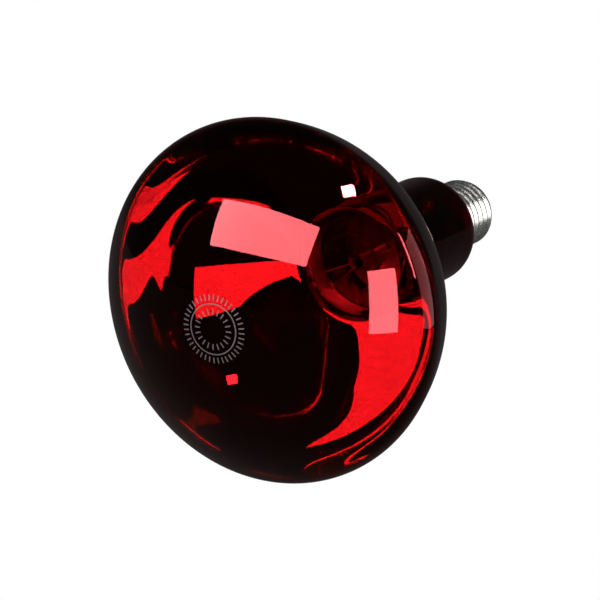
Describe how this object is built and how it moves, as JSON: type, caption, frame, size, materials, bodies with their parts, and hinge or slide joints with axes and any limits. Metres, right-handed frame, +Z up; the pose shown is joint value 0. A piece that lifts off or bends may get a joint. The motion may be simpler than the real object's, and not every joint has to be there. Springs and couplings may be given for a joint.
{
  "type": "reflector heat lamp",
  "caption": "Red infrared reflector heat lamp: blown ruby-glass bulb with aluminised bowl, sealed filament mount and medium screw base.",
  "frame": {"origin": "on the lamp's axis, at the open edge of the screw shell", "axes": "+Y along the lamp's axis toward the tip of the screw base, -Y out of the domed face, +Z up, the filament ring's gap toward -Z"},
  "size_m": [0.127, 0.1877, 0.127],
  "materials": {
    "ruby_glass": "clear ruby glass, blown, polished",
    "clear_glass": "clear lead-free mount glass",
    "aluminised": "vacuum-deposited aluminium, bright",
    "frosted_mark": "matt grey stamped enamel",
    "shell_metal": "nickel-plated brass sheet, rolled",
    "solder": "tin solder, cast as it set",
    "eyelet_brass": "stamped brass",
    "vitrite": "black glass insulator",
    "cement": "baked basing cement, matt",
    "nickel_wire": "drawn nickel",
    "copper_wire": "drawn copper",
    "molybdenum": "drawn molybdenum",
    "tungsten": "coiled tungsten",
    "shield_metal": "pressed aluminium sheet"
  },
  "bodies": {
    "root": {"glass_bulb": "ruby_glass", "reflector_coating": "aluminised", "face_stamp": "frosted_mark", "screw_shell": "shell_metal", "base_insulator": "vitrite", "center_contact": "eyelet_brass", "contact_solder": "solder", "shell_solder": "solder", "basing_cement": "cement", "stem_flare": "clear_glass", "stem_press": "clear_glass", "exhaust_tube": "clear_glass", "arbor_rod": "clear_glass", "glass_button": "clear_glass", "filament": "tungsten", "heat_shield_disc": "shield_metal", "inner_lead_contact": "nickel_wire", "inner_lead_shell": "nickel_wire", "dumet_seal_contact": "copper_wire", "dumet_seal_shell": "copper_wire", "outer_lead_contact": "copper_wire", "outer_lead_shell": "copper_wire", "support_wire_1": "molybdenum", "support_wire_2": "molybdenum", "support_wire_3": "molybdenum", "support_wire_4": "molybdenum", "support_wire_5": "molybdenum"}
  },
  "joints": []
}
